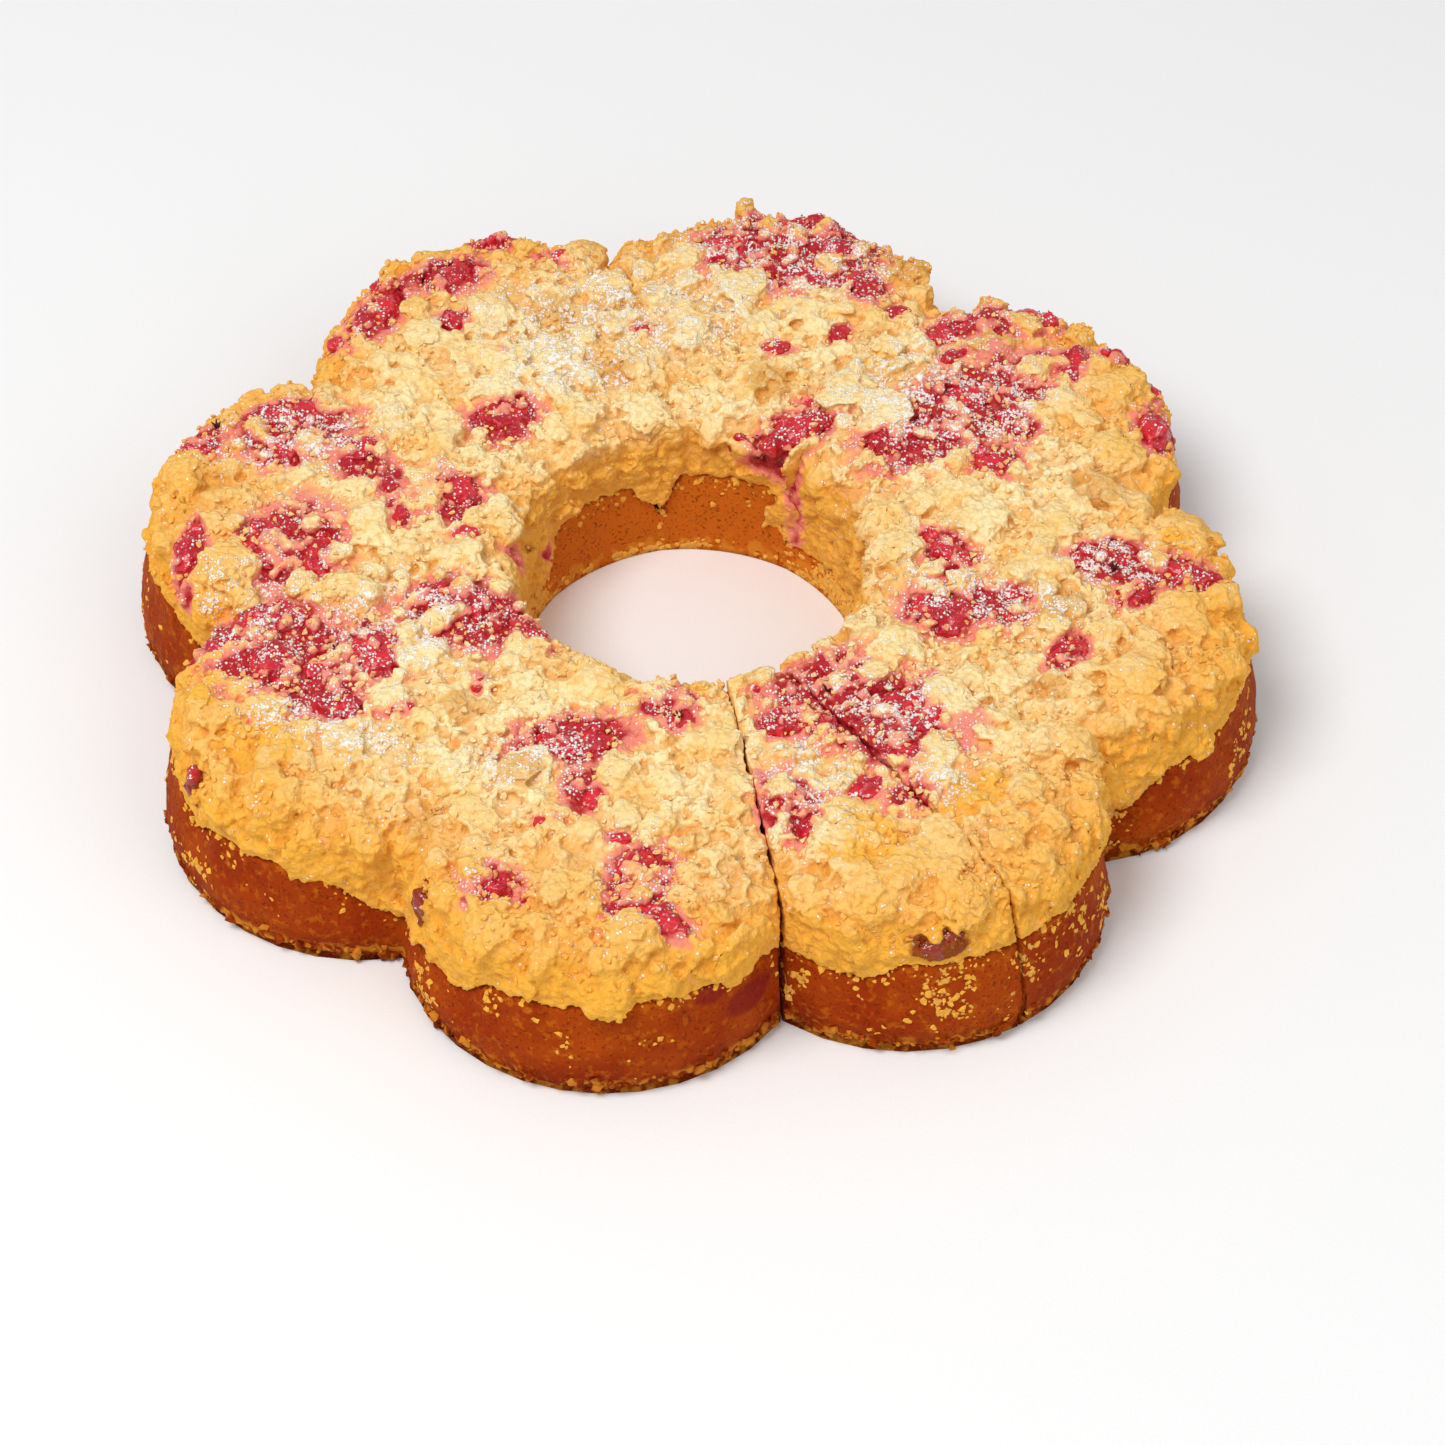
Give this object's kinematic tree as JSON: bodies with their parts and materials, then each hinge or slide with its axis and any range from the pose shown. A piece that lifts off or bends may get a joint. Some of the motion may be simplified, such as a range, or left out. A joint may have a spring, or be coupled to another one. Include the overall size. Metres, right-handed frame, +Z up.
{
  "type": "redcurrant streusel ring cake",
  "caption": "Petal-shaped ring cake with a browned dough base, crumbly streusel top, sunken redcurrant patches and one slice cut but left in place.",
  "frame": {"origin": "centre of the cake's outline on the surface that it stands on", "axes": "+Z up through the hole; -Y is the front, where the slice is cut to the right of the front petal; +X to the right"},
  "size_m": [0.2954, 0.2953, 0.0487],
  "materials": {
    "crust": "baked golden-brown dough crust, rough and darker at the foot",
    "streusel": "baked pale yellow butter streusel with toasted lumps, dusted with icing sugar",
    "currant": "burst redcurrants, wet and glossy deep red"
  },
  "bodies": {
    "root": {"ring_dough": "crust", "slice_dough": "crust", "ring_streusel": "streusel", "slice_streusel": "streusel", "currants_01": "currant", "currants_02": "currant", "currants_03": "currant", "currants_04": "currant", "currants_05": "currant", "currants_06": "currant", "currants_07": "currant", "currants_08": "currant", "currants_09": "currant", "currants_10": "currant", "currants_11": "currant", "currants_12": "currant", "currants_13": "currant", "currants_14": "currant", "currants_15": "currant", "currants_16": "currant", "currants_17": "currant", "currants_18": "currant", "currants_19": "currant", "currants_20": "currant", "currants_21": "currant", "currants_22": "currant", "currants_23": "currant", "currants_24": "currant", "currants_25": "currant", "currants_26": "currant", "currants_27": "currant", "currants_28": "currant", "currants_29": "currant", "currants_30": "currant", "currants_31": "currant", "currants_32": "currant", "currants_33": "currant", "currants_34": "currant", "currants_35": "currant", "currants_36": "currant", "currants_37": "currant", "currants_38": "currant", "currants_39": "currant", "currants_40": "currant", "currants_41": "currant", "currants_42": "currant", "currants_43": "currant", "currants_44": "currant", "currants_45": "currant", "currants_46": "currant", "currants_47": "currant", "currants_48": "currant", "currants_49": "currant", "currants_50": "currant", "currants_51": "currant", "currants_52": "currant", "currants_53": "currant", "currants_54": "currant"}
  },
  "joints": []
}
